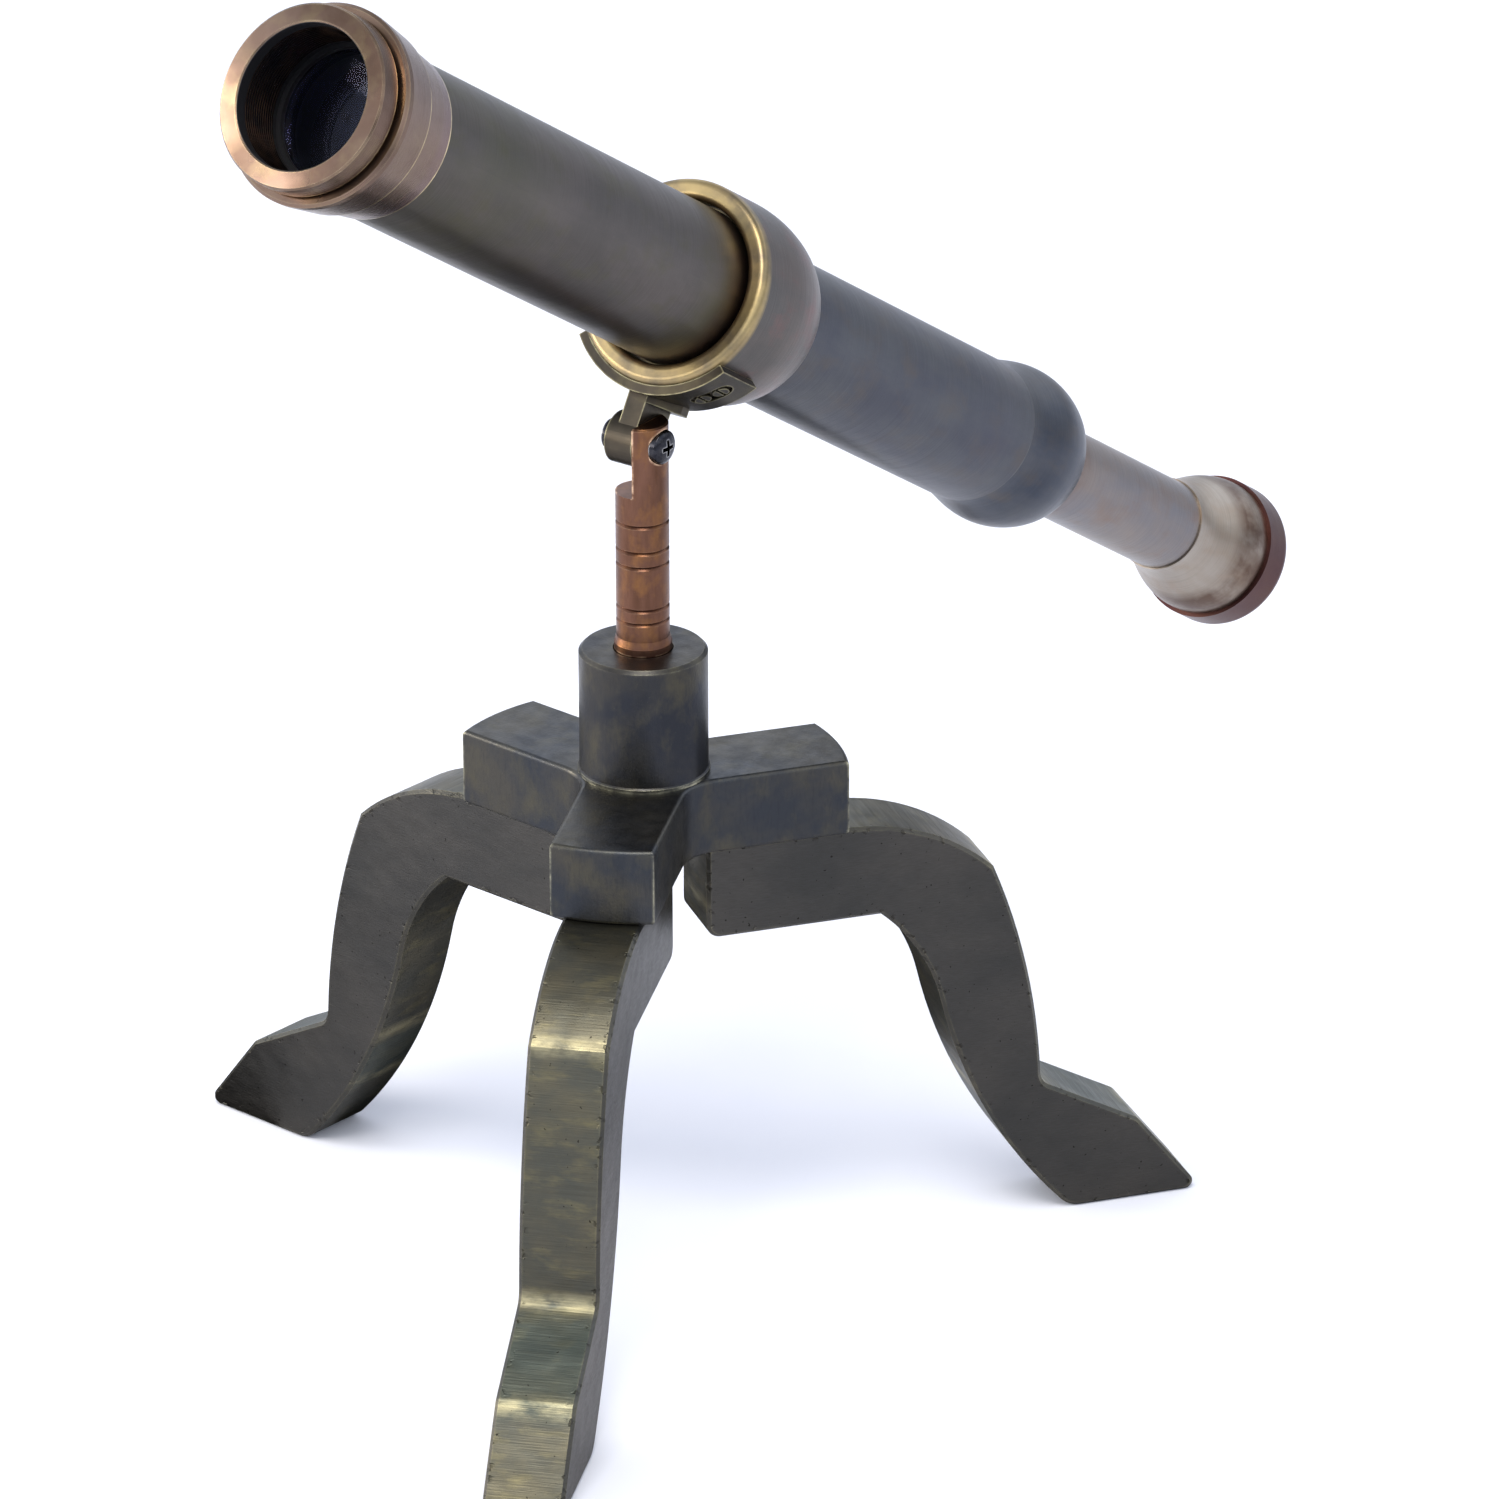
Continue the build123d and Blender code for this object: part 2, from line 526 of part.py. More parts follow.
with BuildPart() as tilt_bracket:
    # lug, round the pivot
    with BuildSketch(bracket_side.offset(-lap_face)):
        Circle(LUG_RADIUS)
    extrude(amount=lug_outer_face + lap_face)
    # neck, from the lug up to the saddle
    with BuildSketch(bracket_side.offset(-lap_face)):
        Rectangle(2 * NECK_HALF_LENGTH, neck_top, align=(Align.CENTER, Align.MIN))
    extrude(amount=NECK_OUTER_FACE + lap_face)
    # block over the tongue, with its front corner cut to a wedge
    with BuildSketch(Plane(origin=pivot + across * neck_block_underside, x_dir=along, z_dir=across)):
        with BuildLine():
            Polyline(
                (-NECK_HALF_LENGTH, 0),
                (NECK_HALF_LENGTH, 0),
                (NECK_HALF_LENGTH, lap_face),
                (-NECK_HALF_LENGTH / 2, NECK_BLOCK_FACE),
                (-NECK_HALF_LENGTH, NECK_BLOCK_FACE),
                close=True,
            )
        make_face()
    extrude(amount=neck_top - neck_block_underside)
    # saddle under the collar
    with BuildSketch(tube_station(SADDLE_FRONT)):
        Circle(saddle_outer)
        Circle(saddle_inner, mode=Mode.SUBTRACT)
        with BuildLine():
            reach = saddle_outer + SADDLE_THICKNESS
            spread = reach * tan(radians(SADDLE_HALF_ANGLE))
            Polyline((0, 0), (-spread, -reach), (spread, -reach), close=True)
        make_face(mode=Mode.INTERSECT)
    extrude(amount=-SADDLE_LENGTH)
    for side in (-1, 1):
        with BuildSketch(recess_plane(side)):
            SlotOverall(SADDLE_RECESS_LENGTH, SADDLE_RECESS_WIDTH)
        extrude(amount=SADDLE_THICKNESS, mode=Mode.SUBTRACT)
    for spot in screw_spots:
        with BuildSketch(spot):
            Circle(SADDLE_SCREW_RADIUS + SEAT)
        extrude(amount=-SADDLE_THICKNESS, mode=Mode.SUBTRACT)
    with Locations(Location(pivot, (90, 0, 0))):
        Hole(radius=PIVOT_SCREW_RADIUS + RUNNING)
save(tilt_bracket.part, "tilt_bracket")

with BuildPart() as bracket_screws:
    for spot in screw_spots:
        with BuildSketch(spot):
            Circle(SADDLE_SCREW_HEAD_RADIUS)
        extrude(amount=SADDLE_RECESS_DEPTH)
        with BuildSketch(spot):
            Circle(SADDLE_SCREW_RADIUS)
        extrude(amount=-SADDLE_SCREW_LENGTH)
        with BuildSketch(spot.offset(SADDLE_RECESS_DEPTH)):
            Rectangle(SADDLE_SCREW_SLOT, 2 * SADDLE_SCREW_HEAD_RADIUS)
        extrude(amount=-SADDLE_RECESS_DEPTH / 2, mode=Mode.SUBTRACT)
save(bracket_screws.part, "bracket_screws")

# ---------------------------------------------------------------- collar and barrel
collar_rear = COLLAR_FRONT - COLLAR_LENGTH
collar_body_rear = COLLAR_FRONT - COLLAR_BODY_LENGTH
collar_tail_radius = draw_1_radius + COLLAR_TAIL_WALL
mouth_radius = BARREL_RADIUS + COLLAR_MOUTH_GAP

with BuildPart() as collar:
    with BuildSketch(tube_section) as collar_half:
        with BuildLine():
            bore = Polyline(
                (collar_body_rear, collar_radius),
                (COLLAR_FRONT, collar_radius),
                (COLLAR_FRONT, mouth_radius),
                (COLLAR_FRONT - COLLAR_MOUTH_DEPTH, mouth_radius),
                (COLLAR_FRONT - COLLAR_MOUTH_DEPTH, BARREL_RADIUS + SEAT),
                (collar_shoulder, BARREL_RADIUS + SEAT),
                (collar_shoulder, draw_1_radius + RUNNING),
                (collar_rear, draw_1_radius + RUNNING),
                (collar_rear, collar_tail_radius),
            )
            Bezier(
                bore @ 1,
                (collar_rear + COLLAR_TAIL_RISE, collar_tail_radius + COLLAR_TAIL_RISE),
                (collar_body_rear - COLLAR_EASE, collar_radius),
                bore @ 0,
            )
        make_face()
        lip = collar_half.vertices().sort_by(Axis(axis_foot, along))[-2:]
        fillet(lip, radius=COLLAR_LIP_ROUND)
    revolve(axis=tube_axis)
    for spot in screw_spots:
        with BuildSketch(spot):
            Circle(SADDLE_SCREW_RADIUS)
        extrude(amount=-SADDLE_SCREW_LENGTH, mode=Mode.SUBTRACT)
save(collar.part, "collar")

with BuildPart() as barrel_tube:
    with BuildSketch(tube_station(collar_shoulder)):
        Circle(BARREL_RADIUS)
        Circle(barrel_bore, mode=Mode.SUBTRACT)
    extrude(amount=BARREL_LENGTH)
save(barrel_tube.part, "barrel_tube")

with BuildPart() as glare_stop:
    with BuildSketch(tube_station(barrel_front - STOP_SETBACK)):
        Circle(barrel_bore - SEAT)
        Circle(STOP_APERTURE, mode=Mode.SUBTRACT)
    extrude(amount=STOP_THICKNESS)
save(glare_stop.part, "glare_stop")

ring_skirt_rear = ring_front - RING_SKIRT_LENGTH
ring_rear = ring_front - RING_LENGTH
bead_radius = BARREL_RADIUS + RING_BEAD_PROUD

with BuildPart() as barrel_ring:
    with BuildSketch(tube_section):
        with BuildLine():
            Polyline(
                (ring_front, cell_spigot_radius + SEAT),
                (ring_front, bead_radius - RING_BEAD_WIDTH / 3),
                (ring_front - RING_BEAD_WIDTH / 3, bead_radius),
                (ring_front - RING_BEAD_WIDTH, bead_radius),
                (ring_skirt_rear, BARREL_RADIUS + RING_SKIRT_PROUD),
                (ring_skirt_rear, BARREL_RADIUS + RING_STEP_PROUD),
                (ring_rear, BARREL_RADIUS + RING_TAIL_PROUD),
                (ring_rear, BARREL_RADIUS + SEAT),
                (barrel_front, BARREL_RADIUS + SEAT),
                (barrel_front, cell_spigot_radius + SEAT),
                close=True,
            )
        make_face()
    revolve(axis=tube_axis)
save(barrel_ring.part, "barrel_ring")

# ---------------------------------------------------------------- objective
lens_seat = cell_front - LENS_SEAT_DEPTH - LENS_LIP_THICKNESS
cell_radius = BARREL_RADIUS + CELL_PROUD
cell_groove_radius = cell_radius - CELL_GROOVE_DEPTH
cell_bore = objective_radius + RUNNING
cell_rear = ring_front - CELL_SPIGOT_LENGTH
aperture_radius = objective_radius - APERTURE_INSET
lens_lip_radius = objective_radius - LENS_LIP


def sag(radius, curve):
    """Depth of a spherical face over its radius."""
    return curve - sqrt(curve ** 2 - radius ** 2)


def half_angle(radius, curve):
    """Angle of a spherical face from its middle to its edge, degrees."""
    return degrees(asin(radius / curve))


with BuildPart() as objective_cell:
    with BuildSketch(tube_section):
        with BuildLine():
            Polyline(
                (cell_front, aperture_radius + EDGE_BREAK / 2),
                (cell_front, cell_radius - EDGE_BREAK / 2),
                (cell_front - EDGE_BREAK / 2, cell_radius),
                (cell_front - CELL_RIM_LENGTH, cell_radius),
                (cell_front - CELL_RIM_LENGTH, cell_groove_radius),
                (ring_front, cell_groove_radius),
                (ring_front, cell_spigot_radius),
                (cell_rear, cell_spigot_radius),
                (cell_rear, cell_bore),
                (lens_seat, cell_bore),
                (lens_seat, lens_lip_radius),
                (lens_seat + LENS_LIP_THICKNESS, lens_lip_radius),
                (lens_seat + LENS_LIP_THICKNESS, aperture_radius),
                (cell_front - EDGE_BREAK / 2, aperture_radius),
                close=True,
            )
        make_face()
    revolve(axis=tube_axis)
save(objective_cell.part, "objective_cell")

lip_sag = sag(objective_radius, OBJECTIVE_FRONT_CURVE) - sag(lens_lip_radius, OBJECTIVE_FRONT_CURVE)
crown_edge_front = lens_seat - lip_sag - FACE_GAP
crown_edge_rear = crown_edge_front - CROWN_EDGE
crown_front = crown_edge_front + sag(objective_radius, OBJECTIVE_FRONT_CURVE)
crown_rear = crown_edge_rear - sag(objective_radius, OBJECTIVE_INNER_CURVE)

with BuildPart() as objective_crown:
    with BuildSketch(tube_section):
        with BuildLine():
            front_face = CenterArc(
                (crown_front - OBJECTIVE_FRONT_CURVE, 0), OBJECTIVE_FRONT_CURVE,
                0, half_angle(objective_radius, OBJECTIVE_FRONT_CURVE),
            )
            inner_face = CenterArc(
                (crown_rear + OBJECTIVE_INNER_CURVE, 0), OBJECTIVE_INNER_CURVE,
                180, -half_angle(objective_radius, OBJECTIVE_INNER_CURVE),
            )
            Line(front_face @ 1, inner_face @ 1)
            Line(front_face @ 0, inner_face @ 0)
        make_face()
    revolve(axis=tube_axis)
save(objective_crown.part, "objective_crown")

flint_front = crown_rear - CEMENT
flint_rear = crown_edge_rear - CEMENT - FLINT_EDGE

with BuildPart() as objective_flint:
    with BuildSketch(tube_section):
        with BuildLine():
            inner_face = CenterArc(
                (flint_front + OBJECTIVE_INNER_CURVE, 0), OBJECTIVE_INNER_CURVE,
                180, -half_angle(objective_radius, OBJECTIVE_INNER_CURVE),
            )
            Polyline(inner_face @ 0, (flint_rear, 0), (flint_rear, objective_radius), inner_face @ 1)
        make_face()
    revolve(axis=tube_axis)
save(objective_flint.part, "objective_flint")

with BuildPart() as lens_retainer:
    with BuildSketch(tube_station(flint_rear - FACE_GAP)):
        Circle(cell_bore - SEAT)
        Circle(cell_bore - RETAINER_WALL, mode=Mode.SUBTRACT)
    extrude(amount=-RETAINER_LENGTH)
save(lens_retainer.part, "lens_retainer")

# ---------------------------------------------------------------- first draw
cap_bulge_radius = draw_1_radius + CAP_BULGE_PROUD
cap_bulge = cap_front - CAP_BULGE_SETBACK
cap_spigot_front = cap_front + CAP_SPIGOT_LENGTH

with BuildPart() as draw_1_tube:
    with BuildSketch(tube_station(cap_front)):
        Circle(draw_1_radius)
        Circle(draw_1_bore, mode=Mode.SUBTRACT)
    extrude(amount=DRAW_1_FRONT - cap_front)
save(draw_1_tube.part, "draw_1_tube")

with BuildPart() as draw_1_guide:
    with BuildSketch(tube_station(DRAW_1_FRONT)):
        Circle(guide_1_radius)
        Circle(draw_1_radius + SEAT, mode=Mode.SUBTRACT)
    extrude(amount=-GUIDE_1_LENGTH)
save(draw_1_guide.part, "draw_1_guide")

with BuildPart() as draw_1_cap:
    with BuildSketch(tube_section):
        with BuildLine():
            inside = Polyline(
                (cap_rear, DRAW_2_RADIUS + EDGE_BREAK),
                (cap_rear, DRAW_2_RADIUS + RUNNING),
                (cap_rear + CAP_BORE_LENGTH, DRAW_2_RADIUS + RUNNING),
                (cap_rear + CAP_BORE_LENGTH, draw_1_bore - EDGE_BREAK),
                (cap_spigot_front, draw_1_bore - EDGE_BREAK),
                (cap_spigot_front, draw_1_bore - SEAT),
                (cap_front, draw_1_bore - SEAT),
                (cap_front, draw_1_radius),
            )
            flare = Bezier(
                inside @ 1,
                (cap_front - CAP_EASE[0], draw_1_radius + CAP_FLARE),
                (cap_bulge + CAP_EASE[1], cap_bulge_radius),
                (cap_bulge, cap_bulge_radius),
            )
            Bezier(
                flare @ 1,
                (cap_bulge - CAP_EASE[2], cap_bulge_radius),
                (cap_rear, cap_bulge_radius - CAP_SHOULDER),
                inside @ 0,
            )
        make_face()
    revolve(axis=tube_axis)
save(draw_1_cap.part, "draw_1_cap")

# ---------------------------------------------------------------- second draw
draw_2_front = cap_spigot_front + GUIDE_2_GAP + GUIDE_2_LENGTH
erector_rear_end = draw_2_front - ERECTOR_INSERT
erector_front_end = erector_rear_end + ERECTOR_LENGTH
erector_radius = draw_2_bore - SEAT
erector_bore = erector_radius - ERECTOR_WALL

with BuildPart() as draw_2_tube:
    with BuildSketch(tube_station(draw_2_rear)):
        Circle(DRAW_2_RADIUS)
        Circle(draw_2_bore, mode=Mode.SUBTRACT)
    extrude(amount=draw_2_front - draw_2_rear)
save(draw_2_tube.part, "draw_2_tube")

with BuildPart() as draw_2_guide:
    with BuildSketch(tube_station(draw_2_front)):
        Circle(draw_1_bore - RUNNING)
        Circle(DRAW_2_RADIUS + SEAT, mode=Mode.SUBTRACT)
    extrude(amount=-GUIDE_2_LENGTH)
save(draw_2_guide.part, "draw_2_guide")

with BuildPart() as erector_tube:
    with BuildSketch(tube_station(erector_rear_end)):
        Circle(erector_radius)
        Circle(erector_bore, mode=Mode.SUBTRACT)
    extrude(amount=ERECTOR_LENGTH)
save(erector_tube.part, "erector_tube")


def make_lens(middle_station, radius, curve, thickness):
    """A lens with the same curve on both faces, thickness at its middle."""
    spread = half_angle(radius, curve)
    with BuildPart() as lens:
        with BuildSketch(tube_section):
            with BuildLine():
                front = CenterArc((middle_station + thickness / 2 - curve, 0), curve, 0, spread)
                rear = CenterArc((middle_station - thickness / 2 + curve, 0), curve, 180, -spread)
                Line(front @ 1, rear @ 1)
                Line(front @ 0, rear @ 0)
            make_face()
        revolve(axis=tube_axis)
    return lens.part


erector_lens_radius = erector_bore - SEAT
save(
    make_lens(erector_front_end - ERECTOR_LENS_THICKNESS, erector_lens_radius,
              ERECTOR_LENS_CURVE, ERECTOR_LENS_THICKNESS),
    "erector_front_lens",
)
save(
    make_lens(erector_rear_end + ERECTOR_LENS_THICKNESS, erector_lens_radius,
              ERECTOR_LENS_CURVE, ERECTOR_LENS_THICKNESS),
    "erector_rear_lens",
)

# ---------------------------------------------------------------- eyepiece
eyepiece_radius = draw_2_bore - SEAT
eyepiece_bore = eyepiece_radius - EYEPIECE_WALL
eyepiece_front = draw_2_rear + EYEPIECE_LENGTH
eye_lens_radius = eyepiece_bore - SEAT
eyecup_front = draw_2_rear + EYECUP_GRIP
throat_radius = DRAW_2_RADIUS + EYECUP_THROAT_WALL
bell_radius = DRAW_2_RADIUS + EYECUP_BELL_PROUD
bell_station = draw_2_rear - EYECUP_BELL_SETBACK
eye_cap_front = draw_2_rear - EYE_CAP_SETBACK
eye_cap_rear = eye_cap_front - EYE_CAP_LENGTH
eye_cap_radius = DRAW_2_RADIUS + EYE_CAP_PROUD
eye_cap_spigot_radius = DRAW_2_RADIUS + EYE_CAP_SPIGOT_PROUD

with BuildPart() as eyepiece_tube:
    with BuildSketch(tube_station(draw_2_rear)):
        Circle(eyepiece_radius)
        Circle(eyepiece_bore, mode=Mode.SUBTRACT)
    extrude(amount=EYEPIECE_LENGTH)
save(eyepiece_tube.part, "eyepiece_tube")

save(
    make_lens(eyepiece_front - FIELD_LENS_THICKNESS, eye_lens_radius,
              EYEPIECE_LENS_CURVE, FIELD_LENS_THICKNESS),
    "field_lens",
)
save(
    make_lens(draw_2_rear + EYE_LENS_THICKNESS, eye_lens_radius,
              EYEPIECE_LENS_CURVE, EYE_LENS_THICKNESS),
    "eye_lens",
)

with BuildPart() as field_stop:
    with BuildSketch(tube_station((eyepiece_front + draw_2_rear) / 2)):
        Circle(eye_lens_radius)
        Circle(FIELD_STOP_RADIUS, mode=Mode.SUBTRACT)
    extrude(amount=STOP_THICKNESS)
save(field_stop.part, "field_stop")

with BuildPart() as eyecup:
    with BuildSketch(tube_section):
        with BuildLine():
            inside = Polyline(
                (eye_cap_front, bell_radius),
                (eye_cap_front, eye_cap_spigot_radius + SEAT),
                (eye_cap_front + EYE_CAP_SPIGOT_LENGTH, eye_cap_spigot_radius + SEAT),
                (eye_cap_front + EYE_CAP_SPIGOT_LENGTH, eyepiece_bore),
                (draw_2_rear, eyepiece_bore),
                (draw_2_rear, DRAW_2_RADIUS + SEAT),
                (eyecup_front, DRAW_2_RADIUS + SEAT),
                (eyecup_front, throat_radius),
            )
            bell = Bezier(
                inside @ 1,
                (eyecup_front - EYECUP_EASE, throat_radius),
                (bell_station + EYECUP_EASE, bell_radius),
                (bell_station, bell_radius),
            )
            Line(bell @ 1, inside @ 0)
        make_face()
    revolve(axis=tube_axis)
save(eyecup.part, "eyecup")

with BuildPart() as eye_cap:
    with BuildSketch(tube_section):
        with BuildLine():
            front = Polyline(
                (eye_cap_rear + EYE_CAP_DISH, EYE_HOLE_RADIUS),
                (eye_cap_front + EYE_CAP_SPIGOT_LENGTH - FACE_GAP, EYE_HOLE_RADIUS),
                (eye_cap_front + EYE_CAP_SPIGOT_LENGTH - FACE_GAP, eye_cap_spigot_radius),
                (eye_cap_front, eye_cap_spigot_radius),
                (eye_cap_front, eye_cap_radius),
                (eye_cap_rear + EYE_CAP_ROUND, eye_cap_radius),
            )
            edge = TangentArc(front @ 1, (eye_cap_rear, eye_cap_radius - EYE_CAP_ROUND), tangent=(-1, 0))
            dish = Line(edge @ 1, (eye_cap_rear, eye_cap_radius - EYE_CAP_ROUND - EYE_CAP_LIP))
            Line(dish @ 1, front @ 0)
        make_face()
    revolve(axis=tube_axis)
save(eye_cap.part, "eye_cap")
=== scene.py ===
"""Looks of a small brass telescope on a three-legged stand.

Its finishes, the thread in its mouth, the floor, the light and the camera."""
import math

import bpy
from mathutils import Matrix, Vector


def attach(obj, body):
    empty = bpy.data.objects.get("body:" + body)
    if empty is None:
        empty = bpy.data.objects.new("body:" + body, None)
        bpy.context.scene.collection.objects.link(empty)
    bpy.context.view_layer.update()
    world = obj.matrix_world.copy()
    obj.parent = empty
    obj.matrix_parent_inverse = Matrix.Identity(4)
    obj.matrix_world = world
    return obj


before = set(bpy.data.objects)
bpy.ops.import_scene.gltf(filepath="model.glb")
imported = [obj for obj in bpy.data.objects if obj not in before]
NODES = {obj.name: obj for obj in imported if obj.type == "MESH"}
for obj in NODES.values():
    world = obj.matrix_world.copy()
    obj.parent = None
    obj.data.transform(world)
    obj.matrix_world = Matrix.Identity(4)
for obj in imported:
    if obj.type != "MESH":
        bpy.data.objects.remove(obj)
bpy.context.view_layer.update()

MM = 0.001

# The tube leans back by this much about the tilt screw, and its axis passes this far above that screw.
ELEVATION = math.radians(32.4)
PIVOT_HEIGHT = 152 * MM
AXIS_ABOVE_PIVOT = 26.8 * MM
ALONG_TUBE = Vector((math.cos(ELEVATION), 0, math.sin(ELEVATION)))
ACROSS_TUBE = Vector((-math.sin(ELEVATION), 0, math.cos(ELEVATION)))
TUBE_ORIGIN = Vector((0, 0, PIVOT_HEIGHT)) + ACROSS_TUBE * AXIS_ABOVE_PIVOT
TUBE_TURN = (0, -ELEVATION, 0)

# Stand: heights in millimetres of the corners on a leg's front, and the legs' azimuths about the post.
KNEE_HEIGHT, ANKLE_HEIGHT, INSTEP_HEIGHT = 67.5, 25.5, 14.5
LEG_AZIMUTHS = {"leg_front": math.radians(24), "leg_left": math.radians(-96),
                "leg_right": math.radians(144)}

# Telescope, in millimetres: bores that are painted black inside, and the cell's face and its crown.
BARREL_BORE, CELL_BORE, DRAW_1_BORE, DRAW_2_BORE = 13.6, 12.2, 12.8, 8.0
CELL_FACE, CELL_CROWN = 15.4, 2.0

# Thread in the mouth of the cell, in millimetres: its start along the axis, and the rings that stand for it.
THREAD_START, THREAD_RADIUS, THREAD_WIRE, THREAD_PITCH, THREAD_TURNS = 113.4, 12.12, 0.16, 0.65, 13

# Floor and painted-shade cards: half the sheet's side, and how far a card lies above it.
FLOOR_REACH = 6.0
CARD_LIFT = 0.2 * MM

# Camera: a long lens, standing well off on the front leg's side and looking a little down.
CAMERA_AZIMUTH = math.radians(36.28)
CAMERA_REACH = 1650 * MM
CAMERA_HEIGHT = 825.86 * MM
CAMERA_DOWN = math.radians(23.881)
CAMERA_ASIDE = math.radians(0.623)
CAMERA_ROLL = math.radians(-0.164)
CAMERA_LENS = 254.96


# ---------------------------------------------------------------- colours and nodes

def colour(code):
    """An sRGB hex value as the linear colour that a shader takes."""
    parts = [int(code[i:i + 2], 16) / 255 for i in (1, 3, 5)]
    return [p / 12.92 if p <= 0.04045 else ((p + 0.055) / 1.055) ** 2.4 for p in parts] + [1]


def add(tree, kind, sockets=None, take=None, **settings):
    """Adds one node with its settings, values and links.

    Gives the output named take, or the first in use."""
    node = tree.nodes.new(kind)
    for field, value in settings.items():
        setattr(node, field, value)
    for name, value in (sockets or {}).items():
        named = [s for s in node.inputs if s.enabled and s.name == name]
        socket = named[0] if named else node.inputs[name]
        if isinstance(value, bpy.types.NodeSocket):
            tree.links.new(value, socket)
        else:
            socket.default_value = value
    shown = [s for s in node.outputs if s.enabled]
    return next((s for s in shown if s.name == take), shown[0] if shown else None)


# ---------------------------------------------------------------- what a metalworker's hands and time leave, and painted shade in hollows

def on_piece(tree, origin=(0, 0, 0), turn=(0, 0, 0), source="Object"):
    """A point on the piece in metres, or its Normal, seen from the piece's own axis."""
    here = add(tree, "ShaderNodeTexCoord", take=source)
    return add(tree, "ShaderNodeMapping", {"Vector": here, "Location": origin, "Rotation": turn},
               vector_type="TEXTURE")


def shade(tree, value, low, high, start=0.0, end=1.0):
    """A value turned from low..high into start..end, and held there outside."""
    return add(tree, "ShaderNodeMapRange",
               {"Value": value, "From Min": low, "From Max": high, "To Min": start, "To Max": end})


def both(tree, one, other):
    """Two shares together: one socket, cut down by another share or by a number."""
    return add(tree, "ShaderNodeMath", {0: one, 1: other}, operation="MULTIPLY")


def over(tree, under, upper, share, amount=1.0):
    """The upper colour laid over the one under it, by an amount of that share."""
    strength = share if amount == 1.0 else both(tree, share, amount)
    return add(tree, "ShaderNodeMix", {"Factor": strength, "A": under, "B": upper}, data_type="RGBA")


def mottle(tree, spot, size, seed, low=0.35, high=0.65, detail=4.0):
    """0 to 1 in soft blotches whose three sizes are in millimetres along the piece's own axes."""
    stretched = add(tree, "ShaderNodeVectorMath",
                    {0: spot, 1: [1 / (s * MM) for s in size]}, operation="MULTIPLY")
    cloud = add(tree, "ShaderNodeTexNoise",
                {"Vector": stretched, "W": seed, "Scale": 1.0, "Detail": detail, "Roughness": 0.6},
                noise_dimensions="4D")
    return shade(tree, cloud, low, high)


def rubbed_edges(tree, reach, start=0.12, end=0.42):
    """0 to 1 where the metal within reach millimetres ends at a corner, so that hands have polished it."""
    inside = add(tree, "ShaderNodeAmbientOcclusion", {"Distance": reach * MM}, take="AO",
                 inside=True, only_local=True, samples=12)
    return shade(tree, inside, 1 - start, 1 - end)


def painted_hollow_shade(tree, reach):
    """0 to 1 in the hollows that ambient occlusion finds: painted shade that darkens them."""
    outside = add(tree, "ShaderNodeAmbientOcclusion", {"Distance": reach * MM}, take="AO",
                  only_local=True, samples=12)
    return shade(tree, outside, 0.85, 0.35)


def band(tree, spot, axis, start, end, soft):
    """1 where the piece's own axis lies between start and end millimetres, fading over soft of them."""
    here = add(tree, "ShaderNodeSeparateXYZ", {"Vector": spot}, take=axis)
    return both(tree, shade(tree, here, (start - soft) * MM, (start + soft) * MM),
                shade(tree, here, (end + soft) * MM, (end - soft) * MM))


def from_axis(tree, spot):
    """Distance from the piece's own X axis, in metres."""
    across = add(tree, "ShaderNodeVectorMath", {0: spot, 1: (0, 1, 1)}, operation="MULTIPLY")
    return add(tree, "ShaderNodeVectorMath", {0: across}, take="Value", operation="LENGTH")


def relief(tree, layers):
    """A normal from layers of height, each a socket and the millimetres that its 0 to 1 stand for."""
    normal = {}
    for height, depth in layers:
        normal = {"Normal": add(tree, "ShaderNodeBump",
                                {"Height": height, "Distance": depth * MM, "Strength": 1.0, **normal})}
    return normal


def new_finish(name):
    """An empty material and its tree."""
    made = bpy.data.materials.new(name)
    made.use_nodes = True
    made.node_tree.nodes.clear()
    return made, made.node_tree


def skin(tree, **sockets):
    """The shader and the output; underscores in a name stand for its spaces."""
    named = {name.replace("_", " "): value for name, value in sockets.items()}
    shader = add(tree, "ShaderNodeBsdfPrincipled", named)
    add(tree, "ShaderNodeOutputMaterial", {"Surface": shader})


# ---------------------------------------------------------------- finishes

def blackened_casting(name, ground, second):
    """Cast brass, filed and blackened in a sulphur bath: olive to slate black, rubbed on its edges."""
    made, tree = new_finish(name)
    spot = on_piece(tree)
    tint = over(tree, colour(ground), colour(second), mottle(tree, spot, (20, 20, 16), 1.0, 0.4, 0.6))
    tint = over(tree, tint, colour("#5f5a47"), mottle(tree, spot, (6, 6, 9), 2.0, 0.5, 0.7), 0.45)
    # Painted shade: darkens the casting's hollows, as ambient occlusion finds them.
    tint = over(tree, tint, colour("#242326"), painted_hollow_shade(tree, 3.0), 0.5)
    tint = over(tree, tint, colour("#33343a"), mottle(tree, spot, (0.5, 0.5, 2.2), 6.0, 0.5, 0.75, 2.0), 0.35)
    rubbed = both(tree, rubbed_edges(tree, 0.7), mottle(tree, spot, (2.5, 2.5, 2.5), 3.0, 0.35, 0.6))
    tint = over(tree, tint, colour("#c4c1a6"), rubbed, 0.85)
    sand = mottle(tree, spot, (0.5, 0.5, 0.5), 4.0, 0.2, 0.8, 3.0)
    strokes = mottle(tree, spot, (0.25, 0.25, 3.0), 7.0, 0.3, 0.7, 2.0)
    rough = shade(tree, mottle(tree, spot, (3, 3, 6), 5.0), 0.0, 1.0, 0.33, 0.46)
    skin(tree, Base_Color=tint, Roughness=rough, Metallic=1.0,
         **relief(tree, ((sand, 0.02), (strokes, 0.006))))
    return made


